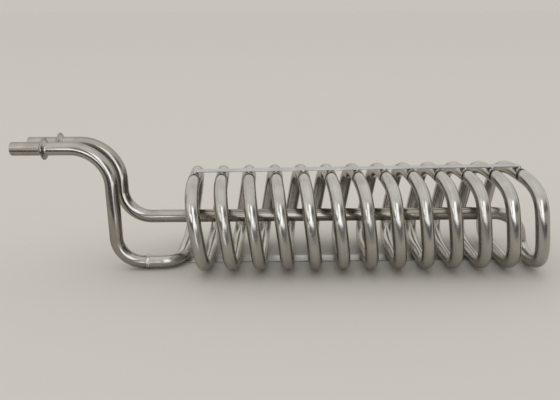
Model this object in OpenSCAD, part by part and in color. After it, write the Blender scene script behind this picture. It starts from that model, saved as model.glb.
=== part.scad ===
// Immersion wort chiller: one stainless tube wound in flattened loops round a level axis, with a
// return tube through the middle, two hose stubs side by side and two flat bars that space the loops.
// +X runs along the coil away from the hose stubs, +Z is up, and the bottom bar stands on z = 0.

/* [Tube] */
// Outside diameter of the tube
tube_od = 12.7; // [8:0.1:14]
// Wall of the tube
tube_wall = 1; // [0.6:0.1:2]

/* [Coil] */
// Number of loops
loops = 13; // [4:1:14]
// Distance between neighbouring loops
pitch = 26.5; // [20:0.5:32]
// Width of a loop, across the tube's centreline
loop_w = 111; // [96:1:130]
// Height of the first loop, across the tube's centreline
loop_h = 78; // [74:1:100]
// Height that the loops gain from the first crossing of the top to the last
loop_h_gain = 3; // [0:0.5:4]
// Squareness of a loop, where 2 is an ellipse
loop_squareness = 3.5; // [2.4:0.1:4]
// Share of the pitch that a loop's front half takes, and its back half takes the rest
front_share = 0.44; // [0.4:0.01:0.6]
// Radius of the flat bend between the inlet tube and the first loop
start_bend_r = 19; // [18:1:30]
// Radius of the bend from the last loop up to the return tube
rise_bend_r = 15; // [12:1:18]
// Radius of the bend from that rise into the return tube
return_bend_r = 28; // [22:1:30]
// Distance from the foot of the rise back to its head
rise_setback = 7; // [2:1:16]

/* [Inlet and return tubes] */
// Distance between the inlet tube and the return tube, across their centrelines
tube_spacing = 22; // [18:1:30]
// Height of the return tube over the foot of the loops
return_h = 39.5; // [36:0.5:44]
// Height of the hose stubs over the foot of the loops
stub_h = 114; // [106:1:150]
// Radius of the upper bends
upper_bend_r = 36; // [26:1:38]
// Radius of the inlet tube's lower bend
inlet_lower_r = 25; // [18:1:30]
// Straight run between the inlet tube's lower bend and its butt weld
inlet_run = 4.5; // [1:0.5:12]
// Radius of the return tube's lower bend
return_lower_r = 28; // [20:1:30]
// Distance of the return tube's upright behind the inlet tube's upright
return_shift = 4; // [0:1:12]
// Straight length of the inlet stub, from its bend to its end
inlet_stub_l = 53; // [45:1:90]
// Straight length of the return stub, from its bend to its end
return_stub_l = 49; // [45:1:90]
// Chamfer on the end of each stub
stub_chamfer = 0.4; // [0.1:0.1:0.5]

/* [Hose beads] */
// Distance from a stub's end to the middle of its bead
bead_offset = 30; // [20:1:38]
// Height of a bead over the tube
bead_h = 4; // [1.5:0.5:6]
// Width of a bead where it sits on the tube
bead_w = 6.6; // [4:0.2:9]
// Width of a bead at its rim
bead_rim_w = 1.6; // [0.8:0.1:2.4]
// Depth that a bead is let into the tube
bead_seat = 0.3; // [0.2:0.1:0.4]

/* [Spacer bars] */
// Width of the top bar
top_bar_w = 10; // [8:0.5:16]
// Width of the bottom bar
bottom_bar_w = 14; // [12:0.5:18]
// Thickness of the flat bars
bar_t = 1.2; // [1:0.1:3]
// Radius of the bars' corners
bar_corner_r = 0.8; // [0.5:0.1:3]
// Length of a bar past its first and last crossings
bar_past = 2; // [2:0.5:10]
// Distance of the top bar behind the middle of the coil
top_bar_back = 3.5; // [0:0.5:6]
// Distance of the bottom bar in front of the middle of the coil
bottom_bar_front = 2; // [0:0.5:3]

/* [Welds] */
// Half width of a butt weld's ring
seam_half_w = 1.8; // [1:0.1:3]
// Height of a butt weld's ring over the tube
seam_h = 0.6; // [0.3:0.1:1.2]
// Radius of a tack weld
tack_r = 1.6; // [1:0.1:2]

/* [Hidden] */
$fn = 48;

rings_per_loop = 24;
tube_sides = 6;
bend_rings = 5;

tube_r = tube_od / 2;
bore_r = tube_r - tube_wall;

// Along the coil, with the first crossing of the top at x = 0 and the foot of the loops at z = 0
first_x = (front_share - 1) * pitch;
last_x = first_x + loops * pitch;
start_bend_x = first_x - start_bend_r;
inlet_weld_x = start_bend_x - tube_od;
inlet_upright_x = inlet_weld_x - inlet_run - inlet_lower_r;
return_upright_x = inlet_upright_x + return_shift;
inlet_end_x = inlet_upright_x - upper_bend_r - inlet_stub_l;
return_end_x = return_upright_x - upper_bend_r - return_stub_l;
inlet_y = -tube_spacing;

// The rise from the last loop to the return tube leans back from its foot to its head
rise_foot = [last_x, 0, 0];
rise_head = [last_x - rise_setback, 0, return_h];
rise_dir = unit(rise_head - rise_foot);
return_turn = acos(-rise_dir[0]);
return_tangent_l = return_bend_r * tan(return_turn / 2);
return_weld_x = rise_head[0] - return_tangent_l - tube_od;

// The top bar lies on the loops, so it slopes as they gain height
crossings_l = (loops - 1) * pitch;
crown_slope = atan(loop_h_gain / crossings_l);

// The part's box runs from the inlet stub's end to the outside of the last loop
middle_x = (inlet_end_x + last_x + tube_r) / 2;
stand_z = tube_r + bar_t;

function unit(v) = v / norm(v);

// A loop is a superellipse of height h, and the tube crosses the bars square to the coil's axis
function loop_radius(a, h) =
    pow(pow(abs(cos(a)) / (loop_w / 2), loop_squareness)
        + pow(abs(sin(a)) / (h / 2), loop_squareness), -1 / loop_squareness);
function loop_x(t) =
    pitch * (t - sin(720 * t) / (4 * PI) + (front_share - 0.5) / 2 * (1 - cos(360 * t)));
function coil_point(t) =
    let (a = 90 - 360 * t, h = loop_h + loop_h_gain * t / (loops - 1), r = loop_radius(a, h))
    [loop_x(t), -r * cos(a), h / 2 + r * sin(a)];

// Points of a bend of radius r that leaves `from` along u and turns by `turn` towards v
function bend_points(from, u, v, r, turn) =
    [for (i = [0:bend_rings]) let (a = turn * i / bend_rings)
        from + r * sin(a) * u + r * (1 - cos(a)) * v];

// The coil tube's route, each point with the side that one edge of its ring faces
start_route = concat(
    [[[inlet_weld_x, inlet_y, 0], [0, 0, -1]]],
    [for (p = bend_points([start_bend_x, inlet_y, 0], [1, 0, 0], [0, 1, 0], start_bend_r, 90))
        [p, [0, 0, -1]]]);
loop_route = [for (i = [-rings_per_loop / 2 + 1 : (loops - 0.5) * rings_per_loop - 2])
    let (p = coil_point(i / rings_per_loop)) [p, [0, p[1], p[2] - loop_h / 2]]];
rise_start = rise_foot - [0, rise_bend_r, 0];
return_start = rise_head - return_tangent_l * rise_dir;
return_side = unit([-1, 0, 0] + rise_dir[0] * rise_dir);
rise_route = concat(
    [for (p = bend_points(rise_start, [0, 1, 0], rise_dir, rise_bend_r, 90)) [p, [1, 0, 0]]],
    [for (p = bend_points(return_start, rise_dir, return_side, return_bend_r, return_turn))
        [p, cross(rise_dir, return_side)]],
    [[[return_weld_x, 0, return_h], cross(rise_dir, return_side)]]);
coil_route = concat(start_route, loop_route, rise_route);

// Least gap between parts of the coil tube that are at least half a loop apart along it
coil_gap = min([for (i = [0:len(coil_route) - 1]) for (j = [i + rings_per_loop / 2:1:len(coil_route) - 1])
    norm(coil_route[i][0] - coil_route[j][0])]) - tube_od;
echo(coil_least_gap_mm = coil_gap);

// One ring of points round the route at its point i
function route_ring(route, i, r) =
    let (last = len(route) - 1,
         t = unit(route[min(i + 1, last)][0] - route[max(i - 1, 0)][0]),
         side = route[i][1],
         u = unit(side - (side * t) * t),
         v = cross(t, u))
    [for (k = [0:tube_sides - 1]) let (a = 360 * k / tube_sides)
        route[i][0] + r * (cos(a) * u + sin(a) * v)];

// A hollow tube swept along a route, as one closed surface
module swept_tube(route, outer_r, inner_r) {
    n = len(route);
    s = tube_sides;
    inner = n * s;
    points = [for (r = [outer_r, inner_r]) for (i = [0:n - 1]) each route_ring(route, i, r)];
    wall_faces = [for (i = [0:n - 2]) for (k = [0:s - 1])
        let (a = i * s + k, b = i * s + (k + 1) % s)
        each [[a, a + s, b + s], [a, b + s, b],
              [inner + a, inner + b + s, inner + a + s], [inner + a, inner + b, inner + b + s]]];
    end_faces = [for (k = [0:s - 1])
        let (a = k, b = (k + 1) % s, c = (n - 1) * s + k, d = (n - 1) * s + (k + 1) % s)
        each [[a, b, inner + b], [a, inner + b, inner + a],
              [c, inner + d, d], [c, inner + c, inner + d]]];
    polyhedron(points = points, faces = concat(wall_faces, end_faces), convexity = 10);
}

// A straight tube along +X from the origin
module straight_tube(l) {
    rotate([0, 90, 0])
        rotate_extrude()
            polygon([[bore_r, 0], [tube_r, 0], [tube_r, l], [bore_r, l]]);
}

// A hose stub along +X, chamfered at its start, with a shallow seat for its bead
module hose_stub(l) {
    seat_from = bead_offset - bead_w / 2;
    seat_to = bead_offset + bead_w / 2;
    rotate([0, 90, 0])
        rotate_extrude()
            polygon([[bore_r, 0], [tube_r - stub_chamfer, 0], [tube_r, stub_chamfer],
                     [tube_r, seat_from], [tube_r - bead_seat, seat_from],
                     [tube_r - bead_seat, seat_to], [tube_r, seat_to], [tube_r, l], [bore_r, l]]);
}

// A quarter bend in the XZ plane round the origin, its ends at +X and +Z
module quarter_bend(r) {
    rotate([90, 0, 0])
        rotate_extrude(angle = 90, $fn = 96)
            translate([r, 0])
                difference() {
                    circle(r = tube_r);
                    circle(r = bore_r);
                }
}

// A hose tube: stub, upper bend, upright, lower bend and a run along +X at height z
module hose_tube(end_x, upright_x, y, z, lower_r, run_end_x) {
    upper_z = stub_h - upper_bend_r;
    lower_z = z + lower_r;
    run_x = upright_x + lower_r;
    translate([end_x, y, stub_h])
        hose_stub(upright_x - upper_bend_r - end_x);
    translate([upright_x - upper_bend_r, y, upper_z])
        quarter_bend(upper_bend_r);
    translate([upright_x, y, upper_z])
        rotate([0, 90, 0])
            straight_tube(upper_z - lower_z);
    translate([run_x, y, lower_z])
        rotate([0, 180, 0])
            quarter_bend(lower_r);
    translate([run_x, y, z])
        straight_tube(run_end_x - run_x);
}

// A ring along +X round the tube, from a half outline of [height over the tube, half width] steps
module tube_ring(steps) {
    n = len(steps);
    rotate([0, 90, 0])
        rotate_extrude()
            polygon(concat(
                [for (i = [0:n - 1]) [tube_r + steps[i][0], -steps[i][1]]],
                [for (i = [n - 1:-1:0]) [tube_r + steps[i][0], steps[i][1]]]));
}

module hose_bead() {
    tube_ring([[-bead_seat, bead_w / 2], [bead_h / 5, bead_w / 2],
               [bead_h * 0.9, bead_rim_w / 2], [bead_h, bead_rim_w / 4]]);
}

module butt_weld() {
    tube_ring([[0, seam_half_w], [seam_h * 0.7, seam_half_w / 2], [seam_h, seam_half_w / 6]]);
}

// A flat bar with round corners, its underside on z = 0 and its first crossing at x = 0
module spacer_bar(l, w) {
    translate([-bar_past, 0, 0])
        linear_extrude(bar_t) {
            translate([bar_corner_r, -w / 2])
                square([l - 2 * bar_corner_r, w]);
            translate([0, bar_corner_r - w / 2])
                square([l, w - 2 * bar_corner_r]);
            for (x = [bar_corner_r, l - bar_corner_r], s = [-1, 1])
                translate([x, s * (w / 2 - bar_corner_r)])
                    circle(r = bar_corner_r);
        }
}

// A tack in the corner between a bar's +Y edge and a tube, no higher than the bar
module tack() {
    intersection() {
        sphere(r = tack_r);
        translate([-tack_r, 0, 0])
            cube([2 * tack_r, tack_r, min(tack_r, bar_t)]);
    }
}

// A tack at both edges of a bar of width w for each crossing, the crossings a step apart
module tack_row(step, w) {
    for (i = [0:loops - 1], s = [0, 1])
        translate([i * step, (1 - 2 * s) * w / 2, 0])
            mirror([0, s, 0])
                tack();
}

// On the loops' tops, along the slope that they make
module on_crowns() {
    translate([0, top_bar_back, loop_h + tube_r])
        rotate([0, -crown_slope, 0])
            children();
}

// Under the loops' feet, turned over so that z = 0 touches them
module under_feet() {
    translate([first_x, -bottom_bar_front, -tube_r])
        mirror([0, 0, 1])
            children();
}

// Puts the middle of the part's footprint at the origin
module placed() {
    translate([-middle_x, 0, stand_z])
        children();
}

module coil_tube() {
    color("silver") placed()
        swept_tube(coil_route, tube_r, bore_r);
}

module inlet_tube() {
    color("silver") placed()
        hose_tube(inlet_end_x, inlet_upright_x, inlet_y, 0, inlet_lower_r, inlet_weld_x);
}

module return_tube() {
    color("silver") placed()
        hose_tube(return_end_x, return_upright_x, 0, return_h, return_lower_r, return_weld_x);
}

module inlet_hose_bead() {
    color("lightgray") placed()
        translate([inlet_end_x + bead_offset, inlet_y, stub_h])
            hose_bead();
}

module return_hose_bead() {
    color("lightgray") placed()
        translate([return_end_x + bead_offset, 0, stub_h])
            hose_bead();
}

module top_spacer_bar() {
    color("gainsboro") placed() on_crowns()
        spacer_bar(crossings_l / cos(crown_slope) + 2 * bar_past, top_bar_w);
}

module bottom_spacer_bar() {
    color("gainsboro") placed() under_feet()
        spacer_bar(crossings_l + 2 * bar_past, bottom_bar_w);
}

module inlet_butt_weld() {
    color("darkgray") placed()
        translate([inlet_weld_x, inlet_y, 0])
            butt_weld();
}

module return_butt_weld() {
    color("darkgray") placed()
        translate([return_weld_x, 0, return_h])
            butt_weld();
}

module top_tack_welds() {
    color("darkgray") placed() on_crowns()
        tack_row(pitch / cos(crown_slope), top_bar_w);
}

module bottom_tack_welds() {
    color("darkgray") placed() under_feet()
        tack_row(pitch, bottom_bar_w);
}

coil_tube();
inlet_tube();
return_tube();
inlet_hose_bead();
return_hose_bead();
top_spacer_bar();
bottom_spacer_bar();
inlet_butt_weld();
return_butt_weld();
top_tack_welds();
bottom_tack_welds();
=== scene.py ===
import math

import bmesh
import bpy
from mathutils import Matrix, Vector


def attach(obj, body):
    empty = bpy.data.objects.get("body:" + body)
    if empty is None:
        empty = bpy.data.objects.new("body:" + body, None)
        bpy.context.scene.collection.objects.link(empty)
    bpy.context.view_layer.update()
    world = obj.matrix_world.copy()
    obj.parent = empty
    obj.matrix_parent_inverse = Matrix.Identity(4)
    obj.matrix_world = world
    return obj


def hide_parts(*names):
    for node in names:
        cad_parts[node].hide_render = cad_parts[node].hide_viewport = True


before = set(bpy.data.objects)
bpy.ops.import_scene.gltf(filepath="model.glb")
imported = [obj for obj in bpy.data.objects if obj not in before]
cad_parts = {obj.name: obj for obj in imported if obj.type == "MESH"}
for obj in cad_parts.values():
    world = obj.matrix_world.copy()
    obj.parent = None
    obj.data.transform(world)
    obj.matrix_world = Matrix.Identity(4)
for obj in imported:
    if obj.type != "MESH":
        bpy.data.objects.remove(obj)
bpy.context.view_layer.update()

# Metres throughout. Coil coordinates start at the first crossing of the top, with the foot of
# the loops at z = 0, and toRow moves them into the part's frame.
tube = {"radius": 0.00635, "wall": 0.001, "sides": 28}
coil = {
    "loops": 13,
    "pitch": 0.0265,
    "width": 0.111,
    "height": 0.078,
    "heightGain": 0.003,
    "squareness": 3.5,
    "frontShare": 0.44,
    "stepsPerLoop": 96,
    "shareBeforeFirst": 11 / 24,
    "shareAfterLast": 10 / 24,
    "startBend": 0.019,
    "riseBend": 0.015,
    "returnBend": 0.028,
    "riseSetback": 0.007,
    "bellGrowth": 0.03,
    "bellLength": 0.011,
    "bellSteps": 8,
    "flat": 1e-6,
}
hoseTubes = {
    "spacing": 0.022,
    "returnHeight": 0.0395,
    "stubHeight": 0.114,
    "upperBend": 0.036,
    "inletLowerBend": 0.025,
    "returnLowerBend": 0.028,
    "inletRun": 0.0045,
    "returnShift": 0.004,
    "inletStub": 0.053,
    "returnStub": 0.049,
    "chamfer": 0.0004,
    "bendSteps": 28,
    "runStep": 0.006,
    "samePlace": 1e-5,
}
hoseBeads = {
    "offset": 0.030,
    "seat": 0.0003,
    "height": 0.004,
    "flank": ((0.0033, 0.0002), (0.0024, 0.0005), (0.0017, 0.0013), (0.0012, 0.0025),
              (0.0009, 0.0034), (0.0005, 0.0039)),
    "segments": 96,
}
bars = {
    "thickness": 0.0012,
    "topWidth": 0.010,
    "bottomWidth": 0.014,
    "corner": 0.0008,
    "past": 0.002,
    "topBack": 0.0035,
    "bottomFront": 0.002,
    "edgeRound": 0.0002,
    "edgeSteps": 3,
    "cornerSteps": 8,
}
seams = {
    "halfWidth": 0.0018,
    "height": 0.0006,
    "ripples": 17,
    "rippleDepth": 0.0002,
    "ringSides": 204,
    "sectionSides": 16,
}
tacks = {
    "radius": 0.0016,
    "height": 0.0011,
    "seed": 11,
    "lumpScale": 1.7,
    "lumpSize": 0.5,
    "lumpShift": -0.33,
    "leastSize": 0.86,
}

firstX = (coil["frontShare"] - 1) * coil["pitch"]
lastX = firstX + coil["loops"] * coil["pitch"]
startBendX = firstX - coil["startBend"]
inletWeldX = startBendX - 2 * tube["radius"]
inletUprightX = inletWeldX - hoseTubes["inletRun"] - hoseTubes["inletLowerBend"]
returnUprightX = inletUprightX + hoseTubes["returnShift"]
inletEndX = inletUprightX - hoseTubes["upperBend"] - hoseTubes["inletStub"]
returnEndX = returnUprightX - hoseTubes["upperBend"] - hoseTubes["returnStub"]
standZ = tube["radius"] + bars["thickness"]
crossingsLength = (coil["loops"] - 1) * coil["pitch"]
crownSlope = math.atan(coil["heightGain"] / crossingsLength)
toRow = Vector((-(inletEndX + lastX + tube["radius"]) / 2, 0, standZ))

riseFoot = Vector((lastX, 0, 0))
riseHead = Vector((lastX - coil["riseSetback"], 0, hoseTubes["returnHeight"]))
riseAlong = (riseHead - riseFoot).normalized()
returnTurn = math.acos(-riseAlong.x)
returnTangent = coil["returnBend"] * math.tan(returnTurn / 2)
returnWeldX = riseHead.x - returnTangent - 2 * tube["radius"]


# Small helpers for objects and node trees
def addNode(tree, kind, settings=None, values=None):
    node = tree.nodes.new(kind)
    for name, value in (settings or {}).items():
        setattr(node, name, value)
    for name, value in (values or {}).items():
        node.inputs[name].default_value = value
    return node


def addMath(tree, operation, first, second=None, third=None, clamp=False):
    node = tree.nodes.new("ShaderNodeMath")
    node.operation = operation
    node.use_clamp = clamp
    for index, value in enumerate((first, second, third)):
        if value is None:
            continue
        if isinstance(value, (int, float)):
            node.inputs[index].default_value = value
        else:
            tree.links.new(value, node.inputs[index])
    return node.outputs[0]


# A smooth ramp from one level of a value to another
def addRamp(tree, value, start, end, low=0.0, high=1.0):
    node = addNode(tree, "ShaderNodeMapRange", {"interpolation_type": "SMOOTHSTEP"})
    levels = {"Value": value, "From Min": start, "From Max": end, "To Min": low, "To Max": high}
    for label, level in levels.items():
        if isinstance(level, (int, float)):
            node.inputs[label].default_value = level
        else:
            tree.links.new(level, node.inputs[label])
    return node.outputs["Result"]


def newObject(name, data):
    piece = bpy.data.objects.new(name, data)
    bpy.context.scene.collection.objects.link(piece)
    return piece


def newGeometryTree(name, inputs):
    group = bpy.data.node_groups.new(name, "GeometryNodeTree")
    group.interface.new_socket("Geometry", in_out="INPUT", socket_type="NodeSocketGeometry")
    for label, kind, value in inputs:
        socket = group.interface.new_socket(label, in_out="INPUT", socket_type="NodeSocket" + kind)
        if value is not None:
            socket.default_value = value
    group.interface.new_socket("Geometry", in_out="OUTPUT", socket_type="NodeSocketGeometry")
    return group, group.nodes.new("NodeGroupInput"), group.nodes.new("NodeGroupOutput")


def inputIdentifier(group, label):
    for item in group.interface.items_tree:
        if item.item_type == "SOCKET" and item.in_out == "INPUT" and item.name == label:
            return item.identifier
    raise ValueError(label)


# Runs a Geometry Nodes tree on a carrier object and keeps the result as a plain mesh
def bakeNodes(name, carrier, group, values):
    modifier = carrier.modifiers.new("nodes", "NODES")
    modifier.node_group = group
    for label, value in values.items():
        modifier[inputIdentifier(group, label)] = value
    evaluated = carrier.evaluated_get(bpy.context.evaluated_depsgraph_get())
    mesh = bpy.data.meshes.new_from_object(evaluated)
    carrier.modifiers.remove(modifier)
    bpy.data.objects.remove(carrier)
    mesh.name = name
    return newObject(name, mesh)


# Routes of the tubes' centrelines
def bendPoints(start, along, towards, radius, turn, steps):
    return [
        start + radius * math.sin(a) * along + radius * (1 - math.cos(a)) * towards
        for a in (turn * i / steps for i in range(steps + 1))
    ]


def runPoints(start, end, step):
    count = max(1, round((end - start).length / step))
    return [start.lerp(end, i / count) for i in range(count + 1)]


def joinPoints(*parts):
    route = []
    for part in parts:
        for point in part:
            if not route or (point - route[-1]).length > hoseTubes["samePlace"]:
                route.append(point)
    return route


def loopPoint(turns):
    angle = math.pi / 2 - 2 * math.pi * turns
    height = coil["height"] + coil["heightGain"] * turns / (coil["loops"] - 1)
    power = coil["squareness"]
    across = abs(math.cos(angle)) / (coil["width"] / 2)
    upward = abs(math.sin(angle)) / (height / 2)
    radius = (across**power + upward**power) ** (-1 / power)
    x = coil["pitch"] * (
        turns
        - math.sin(4 * math.pi * turns) / (4 * math.pi)
        + (coil["frontShare"] - 0.5) / 2 * (1 - math.cos(2 * math.pi * turns))
    )
    return Vector((x, -radius * math.cos(angle), height / 2 + radius * math.sin(angle)))


def coilRoute():
    y = -hoseTubes["spacing"]
    step = hoseTubes["runStep"]
    bendSteps = hoseTubes["bendSteps"]
    right, back = Vector((1, 0, 0)), Vector((0, 1, 0))
    bendStart = Vector((startBendX, y, 0))
    bellStep = coil["bellLength"] / coil["bellSteps"]
    start = runPoints(Vector((inletWeldX, y, 0)), bendStart, bellStep)
    bend = bendPoints(bendStart, right, back, coil["startBend"], math.pi / 2, bendSteps)
    perLoop = coil["stepsPerLoop"]
    firstStep = -round(perLoop * coil["shareBeforeFirst"])
    lastStep = round(perLoop * (coil["loops"] - 1 + coil["shareAfterLast"]))
    loops = [loopPoint(i / perLoop) for i in range(firstStep, lastStep + 1)]
    riseStart = riseFoot - coil["riseBend"] * back
    rise = bendPoints(riseStart, back, riseAlong, coil["riseBend"], math.pi / 2, bendSteps)
    overStart = riseHead - returnTangent * riseAlong
    side = (riseAlong.x * riseAlong - right).normalized()
    over = bendPoints(overStart, riseAlong, side, coil["returnBend"], returnTurn, bendSteps)
    end = runPoints(over[-1], Vector((returnWeldX, 0, hoseTubes["returnHeight"])), step)
    return joinPoints(start, bend, loops, rise, runPoints(rise[-1], overStart, step), over, end)


def hoseTubeRoute(endX, uprightX, y, z, lowerBend, runEndX):
    step = hoseTubes["runStep"]
    steps = hoseTubes["bendSteps"]
    right, down = Vector((1, 0, 0)), Vector((0, 0, -1))
    top, bend = hoseTubes["stubHeight"], hoseTubes["upperBend"]
    chamfer = hoseTubes["chamfer"]
    stubEnd = Vector((uprightX - bend, y, top))
    stub = [Vector((endX, y, top))] + runPoints(Vector((endX + chamfer, y, top)), stubEnd, step)
    upper = bendPoints(stubEnd, right, down, bend, math.pi / 2, steps)
    lowerStart = Vector((uprightX, y, z + lowerBend))
    lower = bendPoints(lowerStart, down, right, lowerBend, math.pi / 2, steps)
    return joinPoints(
        stub,
        upper,
        runPoints(upper[-1], lowerStart, step),
        lower,
        runPoints(lower[-1], Vector((runEndX, y, z)), step),
    )


# A curve object along a route, with the tube's size at each point as a share of its radius
def routeCurve(name, route, growth):
    data = bpy.data.curves.new(name, "CURVE")
    data.dimensions = "3D"
    spline = data.splines.new("POLY")
    spline.points.add(len(route) - 1)
    for index, (place, point) in enumerate(zip(route, spline.points)):
        point.co = (*(place + toRow), 1)
        point.radius = growth(index, place)
    return newObject(name, data)


# Geometry Nodes: a hollow tube along a curve, with a coordinate that follows its surface
def tubeTree():
    group, source, result = newGeometryTree(
        "hollowTube",
        [
            ("Tube Radius", "Float", 0.006),
            ("Wall", "Float", 0.001),
            ("Sides", "Int", 28),
            ("Rim Angle", "Float", 0.6),
            ("Finish", "Material", None),
        ],
    )
    link = group.links.new
    length = addNode(group, "GeometryNodeSplineParameter")
    path = addNode(group, "GeometryNodeCaptureAttribute", {"domain": "POINT"})
    path.capture_items.new("FLOAT", "Along")
    link(source.outputs["Geometry"], path.inputs["Geometry"])
    link(length.outputs["Length"], path.inputs["Along"])
    circle = addNode(group, "GeometryNodeCurvePrimitiveCircle")
    link(source.outputs["Sides"], circle.inputs["Resolution"])
    link(source.outputs["Tube Radius"], circle.inputs["Radius"])
    place = addNode(group, "GeometryNodeInputPosition")
    profile = addNode(group, "GeometryNodeCaptureAttribute", {"domain": "POINT"})
    profile.capture_items.new("VECTOR", "Round")
    link(circle.outputs["Curve"], profile.inputs["Geometry"])
    link(place.outputs["Position"], profile.inputs["Round"])
    sweep = addNode(group, "GeometryNodeCurveToMesh")
    link(path.outputs["Geometry"], sweep.inputs["Curve"])
    link(profile.outputs["Geometry"], sweep.inputs["Profile Curve"])
    radius = addNode(group, "GeometryNodeInputRadius")
    link(radius.outputs["Radius"], sweep.inputs["Scale"])
    split = addNode(group, "ShaderNodeSeparateXYZ")
    link(profile.outputs["Round"], split.inputs["Vector"])
    surface = addNode(group, "ShaderNodeCombineXYZ")
    link(path.outputs["Along"], surface.inputs["X"])
    link(split.outputs["X"], surface.inputs["Y"])
    link(split.outputs["Y"], surface.inputs["Z"])
    store = addNode(
        group, "GeometryNodeStoreNamedAttribute", {"data_type": "FLOAT_VECTOR", "domain": "POINT"}
    )
    store.inputs["Name"].default_value = "tubeSurface"
    link(sweep.outputs["Mesh"], store.inputs["Geometry"])
    link(surface.outputs["Vector"], store.inputs["Value"])
    # The inner wall is the outer one pushed in, turned over and joined at the rims
    inward = addMath(group, "MULTIPLY", source.outputs["Wall"], -1)
    push = addNode(group, "GeometryNodeExtrudeMesh", {"mode": "FACES"}, {"Individual": False})
    link(store.outputs["Geometry"], push.inputs["Mesh"])
    link(inward, push.inputs["Offset Scale"])
    flip = addNode(group, "GeometryNodeFlipFaces")
    link(push.outputs["Mesh"], flip.inputs["Mesh"])
    join = addNode(group, "GeometryNodeJoinGeometry")
    link(flip.outputs["Mesh"], join.inputs["Geometry"])
    link(store.outputs["Geometry"], join.inputs["Geometry"])
    merge = addNode(group, "GeometryNodeMergeByDistance", values={"Distance": 1e-6})
    link(join.outputs["Geometry"], merge.inputs["Geometry"])
    smooth = addNode(group, "GeometryNodeSetShadeSmooth", {"domain": "FACE"})
    link(merge.outputs["Geometry"], smooth.inputs["Geometry"])
    angle = addNode(group, "GeometryNodeInputMeshEdgeAngle")
    sharp = addNode(
        group, "FunctionNodeCompare", {"data_type": "FLOAT", "operation": "GREATER_THAN"}
    )
    link(angle.outputs["Unsigned Angle"], sharp.inputs["A"])
    link(source.outputs["Rim Angle"], sharp.inputs["B"])
    rims = addNode(group, "GeometryNodeSetShadeSmooth", {"domain": "EDGE"}, {"Shade Smooth": False})
    link(smooth.outputs["Geometry"], rims.inputs["Geometry"])
    link(sharp.outputs["Result"], rims.inputs["Selection"])
    finishAndReturn(group, rims.outputs["Geometry"], source, result)
    return group


def finishAndReturn(group, geometry, source, result):
    realize = addNode(group, "GeometryNodeRealizeInstances")
    group.links.new(geometry, realize.inputs["Geometry"])
    finish = addNode(group, "GeometryNodeSetMaterial")
    group.links.new(realize.outputs["Geometry"], finish.inputs["Geometry"])
    group.links.new(source.outputs["Finish"], finish.inputs["Material"])
    group.links.new(finish.outputs["Geometry"], result.inputs["Geometry"])


# Geometry Nodes: a row of weld nuggets along each edge of a bar
def tackTree():
    group, source, result = newGeometryTree(
        "tackWelds",
        [
            ("Count", "Int", 13),
            ("Step", "Float", 0.0265),
            ("Bar Width", "Float", 0.01),
            ("Radius", "Float", 0.0016),
            ("Height", "Float", 0.0011),
            ("Seed", "Int", 1),
            ("Finish", "Material", None),
        ],
    )
    link = group.links.new
    ball = addNode(group, "GeometryNodeMeshIcoSphere", values={"Radius": 1.0, "Subdivisions": 3})
    lumps = addNode(
        group, "ShaderNodeTexNoise", values={"Scale": tacks["lumpScale"], "Detail": 2.0}
    )
    normal = addNode(group, "GeometryNodeInputNormal")
    swell = addNode(group, "ShaderNodeVectorMath", {"operation": "SCALE"})
    link(normal.outputs["Normal"], swell.inputs[0])
    lumpHeight = addMath(
        group, "MULTIPLY_ADD", lumps.outputs["Fac"], tacks["lumpSize"], tacks["lumpShift"]
    )
    link(lumpHeight, swell.inputs["Scale"])
    lump = addNode(group, "GeometryNodeSetPosition")
    link(ball.outputs["Mesh"], lump.inputs["Geometry"])
    link(swell.outputs["Vector"], lump.inputs["Offset"])
    size = addNode(group, "ShaderNodeCombineXYZ")
    link(source.outputs["Radius"], size.inputs["X"])
    link(source.outputs["Radius"], size.inputs["Y"])
    link(source.outputs["Height"], size.inputs["Z"])
    step = addNode(group, "ShaderNodeCombineXYZ")
    link(source.outputs["Step"], step.inputs["X"])
    rows = addNode(group, "GeometryNodeJoinGeometry")
    for side in (-0.5, 0.5):
        edge = addNode(group, "ShaderNodeCombineXYZ")
        link(addMath(group, "MULTIPLY", source.outputs["Bar Width"], side), edge.inputs["Y"])
        line = addNode(group, "GeometryNodeMeshLine", {"mode": "OFFSET"})
        link(source.outputs["Count"], line.inputs["Count"])
        link(edge.outputs["Vector"], line.inputs["Start Location"])
        link(step.outputs["Vector"], line.inputs["Offset"])
        link(line.outputs["Mesh"], rows.inputs["Geometry"])
    turn = addNode(group, "FunctionNodeRandomValue", {"data_type": "FLOAT_VECTOR"})
    turn.inputs["Min"].default_value = (0, 0, 0)
    turn.inputs["Max"].default_value = (0, 0, 2 * math.pi)
    link(source.outputs["Seed"], turn.inputs["Seed"])
    vary = addNode(group, "FunctionNodeRandomValue", {"data_type": "FLOAT"})
    for socket in vary.inputs:
        if socket.name == "Min" and socket.type == "VALUE":
            socket.default_value = tacks["leastSize"]
        if socket.name == "Max" and socket.type == "VALUE":
            socket.default_value = 1.0
    link(source.outputs["Seed"], vary.inputs["Seed"])
    varied = addNode(group, "ShaderNodeVectorMath", {"operation": "SCALE"})
    link(size.outputs["Vector"], varied.inputs[0])
    link(vary.outputs[1], varied.inputs["Scale"])
    spots = addNode(group, "GeometryNodeInstanceOnPoints")
    link(rows.outputs["Geometry"], spots.inputs["Points"])
    link(lump.outputs["Geometry"], spots.inputs["Instance"])
    link(turn.outputs[0], spots.inputs["Rotation"])
    link(varied.outputs["Vector"], spots.inputs["Scale"])
    smooth = addNode(group, "GeometryNodeSetShadeSmooth")
    link(spots.outputs["Instances"], smooth.inputs["Geometry"])
    finishAndReturn(group, smooth.outputs["Geometry"], source, result)
    return group


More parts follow.
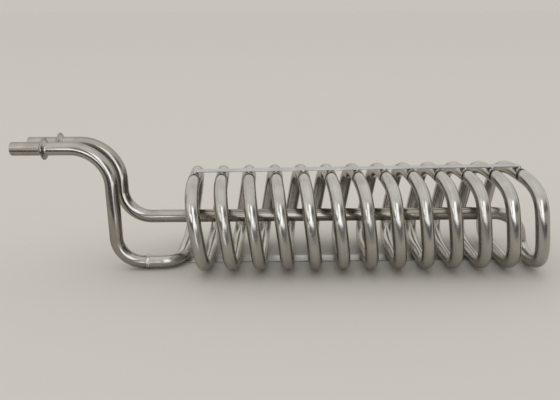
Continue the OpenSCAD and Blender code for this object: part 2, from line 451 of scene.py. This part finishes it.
# Geometry Nodes: the rippled ring of a butt weld, round the Z axis
def seamTree():
    group, source, result = newGeometryTree(
        "rippledSeam",
        [
            ("Ring Radius", "Float", 0.00635),
            ("Half Width", "Float", 0.0018),
            ("Height", "Float", 0.0006),
            ("Ripples", "Float", 17.0),
            ("Ripple Depth", "Float", 0.0002),
            ("Finish", "Material", None),
        ],
    )
    link = group.links.new
    ring = addNode(
        group, "GeometryNodeCurvePrimitiveCircle", values={"Resolution": seams["ringSides"]}
    )
    link(source.outputs["Ring Radius"], ring.inputs["Radius"])
    section = addNode(
        group, "GeometryNodeCurvePrimitiveCircle", values={"Resolution": seams["sectionSides"]}
    )
    link(source.outputs["Height"], section.inputs["Radius"])
    sweep = addNode(group, "GeometryNodeCurveToMesh")
    link(ring.outputs["Curve"], sweep.inputs["Curve"])
    link(section.outputs["Curve"], sweep.inputs["Profile Curve"])
    place = addNode(group, "GeometryNodeInputPosition")
    split = addNode(group, "ShaderNodeSeparateXYZ")
    link(place.outputs["Position"], split.inputs["Vector"])
    angle = addMath(group, "ARCTAN2", split.outputs["Y"], split.outputs["X"])
    # Each ripple bends back where the torch moved on
    bow = addMath(group, "DIVIDE", split.outputs["Z"], source.outputs["Height"])
    bow = addMath(group, "POWER", bow, 2)
    phase = addMath(group, "MULTIPLY_ADD", angle, source.outputs["Ripples"], bow)
    ripple = addMath(group, "ABSOLUTE", addMath(group, "SINE", phase))
    depth = addMath(group, "MULTIPLY", ripple, source.outputs["Ripple Depth"])
    sink = addMath(group, "SUBTRACT", 0, depth)
    outward = addNode(group, "ShaderNodeCombineXYZ")
    link(split.outputs["X"], outward.inputs["X"])
    link(split.outputs["Y"], outward.inputs["Y"])
    unit = addNode(group, "ShaderNodeVectorMath", {"operation": "NORMALIZE"})
    link(outward.outputs["Vector"], unit.inputs[0])
    offset = addNode(group, "ShaderNodeVectorMath", {"operation": "SCALE"})
    link(unit.outputs["Vector"], offset.inputs[0])
    link(sink, offset.inputs["Scale"])
    stretch = addMath(group, "DIVIDE", source.outputs["Half Width"], source.outputs["Height"])
    growth = addMath(group, "SUBTRACT", stretch, 1)
    wide = addNode(group, "ShaderNodeCombineXYZ")
    link(addMath(group, "MULTIPLY", split.outputs["Z"], growth), wide.inputs["Z"])
    total = addNode(group, "ShaderNodeVectorMath", {"operation": "ADD"})
    link(offset.outputs["Vector"], total.inputs[0])
    link(wide.outputs["Vector"], total.inputs[1])
    shaped = addNode(group, "GeometryNodeSetPosition")
    link(sweep.outputs["Mesh"], shaped.inputs["Geometry"])
    link(total.outputs["Vector"], shaped.inputs["Offset"])
    smooth = addNode(group, "GeometryNodeSetShadeSmooth")
    link(shaped.outputs["Geometry"], smooth.inputs["Geometry"])
    finishAndReturn(group, smooth.outputs["Geometry"], source, result)
    return group


# Shader groups that the finishes share
def newShaderGroup(name, inputs, outputs):
    group = bpy.data.node_groups.new(name, "ShaderNodeTree")
    for label, kind, value in inputs:
        socket = group.interface.new_socket(label, in_out="INPUT", socket_type="NodeSocket" + kind)
        if value is not None:
            socket.default_value = value
    for label, kind in outputs:
        group.interface.new_socket(label, in_out="OUTPUT", socket_type="NodeSocket" + kind)
    return group, group.nodes.new("NodeGroupInput"), group.nodes.new("NodeGroupOutput")


# Fine lines that follow the way the metal was drawn or rolled
def drawnLinesGroup():
    group, source, result = newShaderGroup(
        "drawnLines",
        [
            ("Surface", "Vector", None),
            ("Along Scale", "Float", 6.0),
            ("Across Scale", "Float", 900.0),
            ("Contrast", "Float", 1.0),
        ],
        [("Lines", "Float"), ("Bands", "Float")],
    )
    link = group.links.new
    stretch = addNode(group, "ShaderNodeCombineXYZ")
    link(source.outputs["Along Scale"], stretch.inputs["X"])
    link(source.outputs["Across Scale"], stretch.inputs["Y"])
    link(source.outputs["Across Scale"], stretch.inputs["Z"])
    scaled = addNode(group, "ShaderNodeVectorMath", {"operation": "MULTIPLY"})
    link(source.outputs["Surface"], scaled.inputs[0])
    link(stretch.outputs["Vector"], scaled.inputs[1])
    fine = addNode(
        group, "ShaderNodeTexNoise", values={"Scale": 2.6, "Detail": 3.0, "Roughness": 0.6}
    )
    broad = addNode(group, "ShaderNodeTexNoise", values={"Scale": 0.5, "Detail": 2.0})
    for texture in (fine, broad):
        link(scaled.outputs["Vector"], texture.inputs["Vector"])
    link(fine.outputs["Fac"], result.inputs["Lines"])
    centred = addMath(group, "SUBTRACT", broad.outputs["Fac"], 0.5)
    bands = addMath(group, "MULTIPLY_ADD", centred, source.outputs["Contrast"], 0.5, clamp=True)
    link(bands, result.inputs["Bands"])
    return group


# Cloudy handling marks, and dried water spots that only some places have
handling = {
    "dotEdge": (0.22, 0.3),
    "placeScale": 21.0,
    "placeEdge": (0.56, 0.7),
    "cloudRange": (0.32, 0.68),
}


def handlingGroup():
    group, source, result = newShaderGroup(
        "handlingMarks",
        [
            ("Place", "Vector", None),
            ("Cloud Scale", "Float", 38.0),
            ("Spot Scale", "Float", 160.0),
            ("Spot Amount", "Float", 0.5),
        ],
        [("Clouds", "Float"), ("Spots", "Float")],
    )
    link = group.links.new
    clouds = addNode(group, "ShaderNodeTexNoise", values={"Detail": 4.0, "Distortion": 0.6})
    link(source.outputs["Place"], clouds.inputs["Vector"])
    link(source.outputs["Cloud Scale"], clouds.inputs["Scale"])
    spots = addNode(group, "ShaderNodeTexVoronoi", {"feature": "F1"})
    link(source.outputs["Place"], spots.inputs["Vector"])
    link(source.outputs["Spot Scale"], spots.inputs["Scale"])
    dots = addRamp(group, spots.outputs["Distance"], *handling["dotEdge"], 1.0, 0.0)
    chosen = addNode(
        group, "ShaderNodeTexNoise", values={"Scale": handling["placeScale"], "Detail": 1.0}
    )
    link(source.outputs["Place"], chosen.inputs["Vector"])
    places = addRamp(group, chosen.outputs["Fac"], *handling["placeEdge"])
    mask = addMath(group, "MULTIPLY", dots, places)
    link(addMath(group, "MULTIPLY", mask, source.outputs["Spot Amount"]), result.inputs["Spots"])
    link(addRamp(group, clouds.outputs["Fac"], *handling["cloudRange"]), result.inputs["Clouds"])
    return group


# Painted shade: a dark line on the tube just in front of a bar's front edge, where the bar's shadow
# and the dark reflection of its underside fall; with it the straw tint that welding a tack leaves
# on the tube beside the bar
tintAndShadeLine = {
    # Colour of the painted shade line along the bar's front edge
    "shadeLineColour": (0.012, 0.010, 0.011),
    "straw": (0.46, 0.41, 0.33),
    "strawShare": 0.5,
    "lineGap": 0.0070,
    "lineWidth": 0.0039,
    "lineCore": 0.3,
    "lineBow": 125.0,
    "wander": 0.0008,
    "wanderScale": 330.0,
    "faintest": 0.35,
    "wanderShare": 1.2,
    "tintReach": 0.005,
    "fadeHeight": 0.002,
    "levelDrop": 0.0005,
    "extraRoughness": 0.4,
}


def tintAndShadeLineGroup():
    group, source, result = newShaderGroup(
        "tintAndShadeLineNodes",
        [
            ("Place", "Vector", None),
            ("First Crossing", "Float", 0.0),
            ("Step", "Float", 0.0265),
            ("Line Y", "Float", 0.0),
            ("Level", "Float", 0.08),
            ("Line Width", "Float", 0.0005),
            ("Line Bow", "Float", 0.0),
            ("Tint Reach", "Float", 0.004),
        ],
        [("Line", "Float"), ("Tint", "Float")],
    )
    link = group.links.new
    split = addNode(group, "ShaderNodeSeparateXYZ")
    link(source.outputs["Place"], split.inputs["Vector"])
    near = addMath(group, "SUBTRACT", split.outputs["X"], source.outputs["First Crossing"])
    turns = addMath(group, "DIVIDE", near, source.outputs["Step"])
    share = addMath(group, "FRACT", addMath(group, "ADD", turns, 0.5))
    share = addMath(group, "SUBTRACT", share, 0.5)
    across = addMath(group, "MULTIPLY", share, source.outputs["Step"])
    wander = addNode(
        group, "ShaderNodeTexNoise", values={"Scale": tintAndShadeLine["wanderScale"], "Detail": 2.0}
    )
    link(source.outputs["Place"], wander.inputs["Vector"])
    reach = tintAndShadeLine["wander"]
    shift = addMath(group, "MULTIPLY_ADD", wander.outputs["Fac"], reach, -reach / 2)
    gap = addMath(group, "SUBTRACT", split.outputs["Y"], source.outputs["Line Y"])
    # The line bows forward down the tube's sides
    squared = addMath(group, "MULTIPLY", across, across)
    bowed = addMath(group, "MULTIPLY_ADD", squared, source.outputs["Line Bow"], gap)
    onLine = addMath(group, "ABSOLUTE", addMath(group, "ADD", bowed, shift))
    # Only the upper strands have the marks
    level = source.outputs["Level"]
    fullLevel = addMath(group, "ADD", level, tintAndShadeLine["fadeHeight"])
    above = addRamp(group, split.outputs["Z"], level, fullLevel)
    width = source.outputs["Line Width"]
    core = addMath(group, "MULTIPLY", width, tintAndShadeLine["lineCore"])
    line = addRamp(group, onLine, core, width, 1.0, 0.0)
    varied = addMath(group, "MULTIPLY", wander.outputs["Fac"], tintAndShadeLine["wanderShare"])
    strength = addMath(group, "ADD", varied, tintAndShadeLine["faintest"], clamp=True)
    masked = addMath(group, "MULTIPLY", line, above)
    link(addMath(group, "MULTIPLY", masked, strength), result.inputs["Line"])
    squares = addMath(group, "ADD", squared, addMath(group, "MULTIPLY", gap, gap))
    away = addMath(group, "SQRT", squares)
    tint = addRamp(group, away, 0.0, source.outputs["Tint Reach"], 1.0, 0.0)
    link(addMath(group, "MULTIPLY", tint, above), result.inputs["Tint"])
    return group


def newMaterial(name, metallic=1.0):
    material = bpy.data.materials.new(name)
    material.use_nodes = True
    tree = material.node_tree
    surface = tree.nodes["Principled BSDF"]
    surface.inputs["Metallic"].default_value = metallic
    return material, tree, surface


def placeGroup(tree, group, values):
    node = addNode(tree, "ShaderNodeGroup", {"node_tree": group})
    for label, value in values.items():
        node.inputs[label].default_value = value
    return node


def mixColour(tree, factor, first, second):
    node = addNode(tree, "ShaderNodeMix", {"data_type": "RGBA"})
    for index, value in ((6, first), (7, second)):
        if isinstance(value, tuple):
            node.inputs[index].default_value = (*value, 1)
        else:
            tree.links.new(value, node.inputs[index])
    tree.links.new(factor, node.inputs[0])
    return node.outputs[2]


# A brushed finish: its lines, marks, tone from bright (0) to dull (1), and roughness
def metalFinish(tree, finish, groups, surface, place):
    link = tree.links.new
    lines = placeGroup(tree, groups["lines"], {
        "Along Scale": finish["alongScale"],
        "Across Scale": finish["acrossScale"],
        "Contrast": finish["bandContrast"],
    })
    link(surface, lines.inputs["Surface"])
    marks = placeGroup(tree, groups["marks"], {
        "Cloud Scale": finish["cloudScale"], "Spot Scale": finish["spotScale"],
    })
    link(place, marks.inputs["Place"])
    share = finish["bandShare"]
    clouds = addMath(tree, "MULTIPLY", marks.outputs["Clouds"], 1 - share)
    tone = addMath(tree, "MULTIPLY_ADD", lines.outputs["Bands"], share, clouds)
    rough = finish["roughness"]
    for output, extra in (
        (marks.outputs["Clouds"], finish["cloudRoughness"]),
        (lines.outputs["Lines"], finish["lineRoughness"]),
        (marks.outputs["Spots"], finish["spotRoughness"]),
    ):
        rough = addMath(tree, "MULTIPLY_ADD", output, extra, rough)
    return mixColour(tree, tone, finish["bright"], finish["dull"]), rough, lines.outputs["Lines"]


def bumpFrom(tree, height, finish):
    bump = addNode(tree, "ShaderNodeBump", values={
        "Strength": finish["bump"], "Distance": finish["bumpDepth"],
    })
    tree.links.new(height, bump.inputs["Height"])
    return bump.outputs["Normal"]


# Bright drawn stainless tube
def tubeMaterial(name, finish, groups, withTintAndShade):
    material, tree, surface = newMaterial(name)
    link = tree.links.new
    place = addNode(tree, "ShaderNodeTexCoord").outputs["Object"]
    along = addNode(tree, "ShaderNodeAttribute", {"attribute_name": "tubeSurface"})
    colour, rough, lines = metalFinish(tree, finish, groups, along.outputs["Vector"], place)
    if withTintAndShade:
        tintAndShade = placeGroup(tree, groups["tintAndShade"], {
            "First Crossing": toRow.x,
            "Step": coil["pitch"],
            "Line Y": bars["topBack"] - bars["topWidth"] / 2 - tintAndShadeLine["lineGap"],
            "Level": standZ + coil["height"] - tintAndShadeLine["levelDrop"],
            "Line Width": tintAndShadeLine["lineWidth"],
            "Line Bow": tintAndShadeLine["lineBow"],
            "Tint Reach": tintAndShadeLine["tintReach"],
        })
        link(place, tintAndShade.inputs["Place"])
        strawed = addMath(tree, "MULTIPLY", tintAndShade.outputs["Tint"], tintAndShadeLine["strawShare"])
        colour = mixColour(tree, strawed, colour, tintAndShadeLine["straw"])
        # Painted shade: the near-black line colour is mixed in along the top bar's front edge,
        # where the bar's shadow and the dark reflection of its underside fall
        colour = mixColour(tree, tintAndShade.outputs["Line"], colour, tintAndShadeLine["shadeLineColour"])
        extra = tintAndShadeLine["extraRoughness"]
        rough = addMath(tree, "MULTIPLY_ADD", tintAndShade.outputs["Line"], extra, rough)
    else:
        # Painted shade: a brown tint darkens the tube where it runs inside the coil, standing in
        # for the shade and dark reflections of the loops
        split = addNode(tree, "ShaderNodeSeparateXYZ")
        link(place, split.inputs["Vector"])
        start = toRow.x - finish["paintedShadeFade"]
        share = addRamp(tree, split.outputs["X"], start, toRow.x, 0.0, finish["paintedShadeShare"])
        colour = mixColour(tree, share, colour, finish["paintedShade"])
    link(colour, surface.inputs["Base Color"])
    link(rough, surface.inputs["Roughness"])
    surface.inputs["Specular Tint"].default_value = (*finish["edgeTint"], 1)
    link(bumpFrom(tree, lines, finish), surface.inputs["Normal"])
    return material


drawnTube = {
    "alongScale": 5.0,
    "acrossScale": 700.0,
    "cloudScale": 42.0,
    "spotScale": 210.0,
    "bandShare": 0.6,
    "cloudRoughness": 0.07,
    "lineRoughness": 0.05,
    "spotRoughness": 0.12,
    "bump": 0.25,
    "bumpDepth": 0.00004,
}
coilFinish = {
    **drawnTube,
    "bright": (0.495, 0.48, 0.45),
    "dull": (0.36, 0.34, 0.30),
    "edgeTint": (0.87, 0.85, 0.815),
    "roughness": 0.15,
    "bandContrast": 2.2,
}
hoseTubeFinish = {
    **drawnTube,
    "bright": (0.43, 0.408, 0.375),
    "dull": (0.25, 0.23, 0.195),
    "edgeTint": (0.68, 0.65, 0.60),
    "roughness": 0.10,
    "bandContrast": 2.6,
    # Painted shade on the return tube inside the coil: its colour, how much of it, and the length
    # over which it fades in
    "paintedShade": (0.22, 0.195, 0.155),
    "paintedShadeShare": 0.5,
    "paintedShadeFade": 0.02,
}

barFinish = {
    "bright": (0.46, 0.45, 0.44),
    "dull": (0.34, 0.33, 0.31),
    "alongScale": 22.0,
    "acrossScale": 1500.0,
    "bandContrast": 1.0,
    "cloudScale": 60.0,
    "spotScale": 240.0,
    "bandShare": 0.5,
    "roughness": 0.24,
    "cloudRoughness": 0.06,
    "lineRoughness": 0.14,
    "spotRoughness": 0.0,
    "bump": 0.4,
    "bumpDepth": 0.00005,
}


# Rolled strip, brushed along its length
def barMaterial(groups):
    material, tree, surface = newMaterial("rolledStrip")
    link = tree.links.new
    place = addNode(tree, "ShaderNodeTexCoord").outputs["Object"]
    colour, rough, lines = metalFinish(tree, barFinish, groups, place, place)
    link(colour, surface.inputs["Base Color"])
    link(rough, surface.inputs["Roughness"])
    link(bumpFrom(tree, lines, barFinish), surface.inputs["Normal"])
    return material


weldFinish = {
    "bright": (0.66, 0.64, 0.60),
    "oxide": (0.20, 0.18, 0.17),
    "cloudScale": 420.0,
    "roughness": 0.26,
    "cloudRoughness": 0.22,
    "gritScale": 1800.0,
    "bump": 0.5,
    "bumpDepth": 0.0001,
}


# Fused metal, with oxide left in the low places
def weldMaterial(groups):
    material, tree, surface = newMaterial("fusedWeld")
    link = tree.links.new
    place = addNode(tree, "ShaderNodeTexCoord").outputs["Object"]
    marks = placeGroup(tree, groups["marks"], {"Cloud Scale": weldFinish["cloudScale"]})
    link(place, marks.inputs["Place"])
    clouds = marks.outputs["Clouds"]
    colour = mixColour(tree, clouds, weldFinish["bright"], weldFinish["oxide"])
    link(colour, surface.inputs["Base Color"])
    rough = addMath(
        tree, "MULTIPLY_ADD", clouds, weldFinish["cloudRoughness"], weldFinish["roughness"]
    )
    link(rough, surface.inputs["Roughness"])
    grit = addNode(
        tree, "ShaderNodeTexNoise", values={"Scale": weldFinish["gritScale"], "Detail": 3.0}
    )
    link(place, grit.inputs["Vector"])
    link(bumpFrom(tree, grit.outputs["Fac"], weldFinish), surface.inputs["Normal"])
    return material


# Mesh pieces turned or drawn in code. An edge is rounded or kept sharp when its faces meet at
# more than these angles, in degrees.
edgeAngles = {"rounded": 28, "sharp": 38}


def bakeModifiers(piece):
    evaluated = piece.evaluated_get(bpy.context.evaluated_depsgraph_get())
    mesh = bpy.data.meshes.new_from_object(evaluated)
    piece.modifiers.clear()
    old = piece.data
    piece.data = mesh
    bpy.data.meshes.remove(old)
    return piece


def roundEdges(piece, width, segments):
    bevel = piece.modifiers.new("roundEdges", "BEVEL")
    bevel.width = width
    bevel.segments = segments
    bevel.limit_method = "ANGLE"
    bevel.angle_limit = math.radians(edgeAngles["rounded"])
    bevel.harden_normals = False
    return bakeModifiers(piece)


# A ring round the X axis, turned from a closed outline of (x, radius) steps
def turnedRing(name, outline, centre, segments):
    shape = bmesh.new()
    rows = []
    for index in range(segments):
        angle = 2 * math.pi * index / segments
        rows.append([
            shape.verts.new(centre + Vector((x, r * math.cos(angle), r * math.sin(angle))))
            for x, r in outline
        ])
    count = len(outline)
    for index in range(segments):
        row, after = rows[index], rows[(index + 1) % segments]
        for step in range(count):
            ahead = (step + 1) % count
            shape.faces.new((row[step], row[ahead], after[ahead], after[step]))
    bmesh.ops.recalc_face_normals(shape, faces=shape.faces)
    mesh = bpy.data.meshes.new(name)
    shape.to_mesh(mesh)
    shape.free()
    # The lines of turning run round the ring
    lines = mesh.attributes.new("tubeSurface", "FLOAT_VECTOR", "POINT")
    for index, value in enumerate(lines.data):
        x, radius = outline[index % count]
        value.vector = (2 * math.pi * (index // count) / segments * radius, x, radius)
    return newObject(name, mesh)


# The bead is a thin ridge with hollow flanks, seated a little into the tube
def hoseBead(name, endX, y, material):
    foot = tube["radius"] - hoseBeads["seat"]
    left = [(-x, tube["radius"] + rise) for x, rise in hoseBeads["flank"]]
    right = [(-x, radius) for x, radius in reversed(left)]
    crest = [(0, tube["radius"] + hoseBeads["height"])]
    outline = [(left[0][0], foot)] + left + crest + right + [(right[-1][0], foot)]
    centre = Vector((endX + hoseBeads["offset"], y, hoseTubes["stubHeight"])) + toRow
    piece = turnedRing(name, outline, centre, hoseBeads["segments"])
    finishMesh(piece, material)
    return piece


def finishMesh(piece, material):
    piece.data.materials.clear()
    piece.data.materials.append(material)
    for polygon in piece.data.polygons:
        polygon.use_smooth = True
    piece.data.set_sharp_from_angle(angle=math.radians(edgeAngles["sharp"]))


# A flat bar with round corners, from its first crossing along +X
def flatBar(name, length, width, place, material):
    corner, steps = bars["corner"], bars["cornerSteps"]
    outline = []
    corners = ((length - corner, width / 2 - corner, 0), (corner, width / 2 - corner, 90),
               (corner, corner - width / 2, 180), (length - corner, corner - width / 2, 270))
    for x, y, start in corners:
        for index in range(steps + 1):
            angle = math.radians(start + 90 * index / steps)
            across = y + corner * math.sin(angle)
            outline.append((x + corner * math.cos(angle) - bars["past"], across))
    shape = bmesh.new()
    low = [shape.verts.new((x, y, 0)) for x, y in outline]
    high = [shape.verts.new((x, y, bars["thickness"])) for x, y in outline]
    count = len(outline)
    for index in range(count):
        ahead = (index + 1) % count
        shape.faces.new((low[index], low[ahead], high[ahead], high[index]))
    shape.faces.new(high)
    shape.faces.new(low[::-1])
    mesh = bpy.data.meshes.new(name)
    shape.to_mesh(mesh)
    shape.free()
    piece = roundEdges(newObject(name, mesh), bars["edgeRound"], bars["edgeSteps"])
    piece.data.transform(place)
    finishMesh(piece, material)
    return piece


def buildTube(name, route, growth, group, material, node):
    piece = bakeNodes(name, routeCurve(name + "Route", route, growth), group, {
        "Tube Radius": tube["radius"],
        "Wall": tube["wall"],
        "Sides": tube["sides"],
        "Finish": material,
    })
    ridePiece(piece, node)


def ridePiece(piece, node):
    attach(piece, "root")
    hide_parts(node)


def carrierObject(name):
    return newObject(name, bpy.data.meshes.new(name))


def barPlace(top):
    if top:
        lift = Vector((0, bars["topBack"], coil["height"] + tube["radius"])) + toRow
        return Matrix.Translation(lift) @ Matrix.Rotation(-crownSlope, 4, "Y")
    drop = Vector((firstX, -bars["bottomFront"], -tube["radius"])) + toRow
    return Matrix.Translation(drop) @ Matrix.Diagonal((1, 1, -1, 1))


def buildBar(name, top, material, node):
    width = bars["topWidth"] if top else bars["bottomWidth"]
    slant = math.cos(crownSlope) if top else 1
    place = barPlace(top)
    if not top:
        place @= Matrix.Translation((0, 0, bars["thickness"])) @ Matrix.Diagonal((1, 1, -1, 1))
    piece = flatBar(name, crossingsLength / slant + 2 * bars["past"], width, place, material)
    ridePiece(piece, node)


def buildTacks(name, top, group, material, node):
    slant = math.cos(crownSlope) if top else 1
    piece = bakeNodes(name, carrierObject(name + "Carrier"), group, {
        "Count": coil["loops"],
        "Step": coil["pitch"] / slant,
        "Bar Width": bars["topWidth"] if top else bars["bottomWidth"],
        "Radius": tacks["radius"],
        "Height": tacks["height"],
        "Seed": tacks["seed"] + (0 if top else 1),
        "Finish": material,
    })
    piece.data.transform(barPlace(top))
    if not top:
        piece.data.flip_normals()
    ridePiece(piece, node)


def buildSeam(name, place, group, material, node):
    piece = bakeNodes(name, carrierObject(name + "Carrier"), group, {
        "Ring Radius": tube["radius"],
        "Half Width": seams["halfWidth"],
        "Height": seams["height"],
        "Ripples": float(seams["ripples"]),
        "Ripple Depth": seams["rippleDepth"],
        "Finish": material,
    })
    piece.data.transform(Matrix.Translation(place + toRow) @ Matrix.Rotation(math.pi / 2, 4, "Y"))
    ridePiece(piece, node)


# Camera: angles in degrees, lens and sensor in millimetres
view = {
    "place": (-0.01150, -0.57015, 0.24598),
    "down": 17.810,
    "turn": 0.918,
    "roll": -0.190,
    "lens": 38.737,
    "sensor": 36,
    "nearest": 0.01,
    "farthest": 100,
}


def placeCamera():
    data = bpy.data.cameras.new("viewCamera")
    data.sensor_width = view["sensor"]
    data.lens = view["lens"]
    data.clip_start, data.clip_end = view["nearest"], view["farthest"]
    down, turn, roll = (math.radians(view[part]) for part in ("down", "turn", "roll"))
    level = math.cos(down)
    ahead = Vector((math.sin(turn) * level, math.cos(turn) * level, -math.sin(down)))
    right = Vector((math.cos(turn), -math.sin(turn), 0))
    up = right.cross(ahead)
    rolledRight = math.cos(roll) * right + math.sin(roll) * up
    rolledUp = math.cos(roll) * up - math.sin(roll) * right
    camera = newObject("viewCamera", data)
    axes = Matrix((rolledRight, rolledUp, -ahead)).transposed().to_4x4()
    camera.matrix_world = Matrix.Translation(view["place"]) @ axes
    bpy.context.scene.camera = camera


placeCamera()
print("camera placed")

groups = {"lines": drawnLinesGroup(), "marks": handlingGroup(), "tintAndShade": tintAndShadeLineGroup()}
coilSteel = tubeMaterial("coilSteel", coilFinish, groups, True)
tubeSteel = tubeMaterial("tubeSteel", hoseTubeFinish, groups, False)
barSteel = barMaterial(groups)
weldSteel = weldMaterial(groups)
print("finishes made")


def coilGrowth(index, place):
    away = (place.x - inletWeldX) / coil["bellLength"]
    onStart = place.x < startBendX and place.z < coil["flat"]
    if not onStart or away > 1:
        return 1.0
    return 1 + coil["bellGrowth"] * (0.5 + 0.5 * math.cos(math.pi * max(0.0, away)))


def stubGrowth(index, place):
    return 1 - hoseTubes["chamfer"] / tube["radius"] if index == 0 else 1.0


sweep = tubeTree()
buildTube("coilTube", coilRoute(), coilGrowth, sweep, coilSteel, "coil_tube")
print("coil wound")

inletRoute = hoseTubeRoute(
    inletEndX,
    inletUprightX,
    -hoseTubes["spacing"],
    0,
    hoseTubes["inletLowerBend"],
    inletWeldX,
)
returnRoute = hoseTubeRoute(
    returnEndX,
    returnUprightX,
    0,
    hoseTubes["returnHeight"],
    hoseTubes["returnLowerBend"],
    returnWeldX,
)
buildTube("inletTube", inletRoute, stubGrowth, sweep, tubeSteel, "inlet_tube")
buildTube("returnTube", returnRoute, stubGrowth, sweep, tubeSteel, "return_tube")
print("hose tubes bent")

inletBead = hoseBead("inletHoseBead", inletEndX, -hoseTubes["spacing"], tubeSteel)
returnBead = hoseBead("returnHoseBead", returnEndX, 0, tubeSteel)
ridePiece(inletBead, "inlet_hose_bead")
ridePiece(returnBead, "return_hose_bead")
buildBar("topSpacerBar", True, barSteel, "top_spacer_bar")
buildBar("bottomSpacerBar", False, barSteel, "bottom_spacer_bar")
print("beads and bars made")

nuggets, ripples = tackTree(), seamTree()
buildTacks("topTackWelds", True, nuggets, weldSteel, "top_tack_welds")
buildTacks("bottomTackWelds", False, nuggets, weldSteel, "bottom_tack_welds")
inletSeam = Vector((inletWeldX, -hoseTubes["spacing"], 0))
returnSeam = Vector((returnWeldX, 0, hoseTubes["returnHeight"]))
buildSeam("inletButtWeld", inletSeam, ripples, weldSteel, "inlet_butt_weld")
buildSeam("returnButtWeld", returnSeam, ripples, weldSteel, "return_butt_weld")
print("welds laid")

# Floor, lamps and world
studio = {
    "floorSize": 60.0,
    "floorRoughness": 0.9,
    "floorColour": (0.60, 0.572, 0.53),
    "horizon": (0.575, 0.55, 0.507),
    "frontBand": (0.22, 0.21, 0.195),
    "skyRise": (0.02, 0.16),
    "bandRamps": (
        ("Y", (0.1, -0.4)),
        ("Z", (0.7, 0.3)),
        ("Z", (0.06, 0.13)),
        ("X", (-0.34, -0.20)),
    ),
    "ceiling": (1.0, 1.0, 0.985),
    "worldStrength": 1.0,
    "lamps": {
        "frontSoftbox": {
            "place": (0.095, -0.62, 0.308), "aim": (0.095, 0.0, 0.308), "size": (0.35, 0.608),
            "colour": (0.86, 0.91, 1.0), "power": 1.43, "lightsFloor": False,
        },
        "leftSoftbox": {
            "place": (-0.31, -0.60, 0.12), "aim": (-0.31, 0.0, 0.12), "size": (0.22, 0.22),
            "colour": (0.95, 0.96, 1.0), "power": 0.31, "lightsFloor": False,
        },
        "leftCard": {
            "place": (-0.085, -0.27, 0.004), "aim": (-0.085, -0.27, 1.0), "size": (0.05, 0.26),
            "colour": (0.95, 0.95, 1.0), "power": 0.05, "lightsFloor": False,
        },
        "bounceCard": {
            "place": (0.095, -0.443, 0.004), "aim": (0.095, -0.443, 1.0), "size": (0.37, 0.352),
            "colour": (0.93, 0.95, 1.0), "power": 0.70, "lightsFloor": False,
        },
        "sideSoftbox": {
            "place": (-0.72, -0.72, 0.45), "aim": (0.05, 0.0, 0.10), "size": (0.20, 0.8),
            "colour": (1.0, 0.9, 0.72), "power": 0.52, "lightsFloor": False,
        },
        "overheadSoftbox": {
            "place": (0.0, 0.1, 2.2), "aim": (0.0, 0.0, 0.0), "size": (2.6, 2.6),
            "colour": (1.0, 1.0, 1.0), "power": 3.0, "lightsFloor": True,
        },
    },
    # Black strips on the floor, for the dark lines in the steel
    "flagColour": (0.035, 0.037, 0.045),
    "flagRoughness": 0.9,
    "flags": {
        "frontFlag": {"place": (0.15, -0.213, 0.003), "size": (0.52, 0.104)},
        "leftFlag": {"place": (-0.28, -0.385, 0.002), "size": (0.34, 0.42)},
    },
}


def buildFloor():
    half = studio["floorSize"] / 2
    mesh = bpy.data.meshes.new("floor")
    corners = [(-half, -half, 0), (half, -half, 0), (half, half, 0), (-half, half, 0)]
    mesh.from_pydata(corners, [], [(0, 1, 2, 3)])
    material, _, surface = newMaterial("paleFloor", metallic=0.0)
    surface.inputs["Base Color"].default_value = (*studio["floorColour"], 1)
    surface.inputs["Roughness"].default_value = studio["floorRoughness"]
    surface.inputs["Specular IOR Level"].default_value = 0.0
    mesh.materials.append(material)
    newObject("floor", mesh)


# A flag shows only in reflections
def layFlags():
    material, _, surface = newMaterial("blackFlag", metallic=0.0)
    surface.inputs["Base Color"].default_value = (*studio["flagColour"], 1)
    surface.inputs["Roughness"].default_value = studio["flagRoughness"]
    for name, flag in studio["flags"].items():
        (x, y, z), (width, depth) = flag["place"], flag["size"]
        mesh = bpy.data.meshes.new(name)
        signs = ((-1, -1), (1, -1), (1, 1), (-1, 1))
        corners = [(x + i * width / 2, y + j * depth / 2, z) for i, j in signs]
        mesh.from_pydata(corners, [], [(0, 1, 2, 3)])
        mesh.materials.append(material)
        strip = newObject(name, mesh)
        strip.visible_camera = False
        strip.visible_diffuse = False
        strip.visible_shadow = False


def hangLamps():
    for name, lamp in studio["lamps"].items():
        data = bpy.data.lights.new(name, "AREA")
        data.shape = "RECTANGLE"
        data.size, data.size_y = lamp["size"]
        data.energy = lamp["power"]
        data.color = lamp["colour"]
        light = newObject(name, data)
        light.visible_camera = False
        light.visible_diffuse = lamp["lightsFloor"]
        light.location = lamp["place"]
        facing = Vector(lamp["aim"]) - Vector(lamp["place"])
        light.rotation_euler = facing.to_track_quat("-Z", "Y").to_euler()


def buildWorld():
    world = bpy.data.worlds.new("studioWorld")
    bpy.context.scene.world = world
    world.use_nodes = True
    tree = world.node_tree
    background = tree.nodes["Background"]
    direction = addNode(tree, "ShaderNodeTexCoord")
    split = addNode(tree, "ShaderNodeSeparateXYZ")
    tree.links.new(direction.outputs["Generated"], split.inputs["Vector"])
    rise = addRamp(tree, split.outputs["Z"], *studio["skyRise"])
    sky = mixColour(tree, rise, studio["horizon"], studio["ceiling"])
    # Low down behind the camera the sky is darker, except to the left
    band = 1.0
    for axis, (start, end) in studio["bandRamps"]:
        band = addMath(tree, "MULTIPLY", band, addRamp(tree, split.outputs[axis], start, end))
    sky = mixColour(tree, band, sky, studio["frontBand"])
    tree.links.new(sky, background.inputs["Color"])
    background.inputs["Strength"].default_value = studio["worldStrength"]


buildFloor()
layFlags()
hangLamps()
buildWorld()
bpy.context.scene.view_settings.view_transform = "Standard"
print("studio lit")
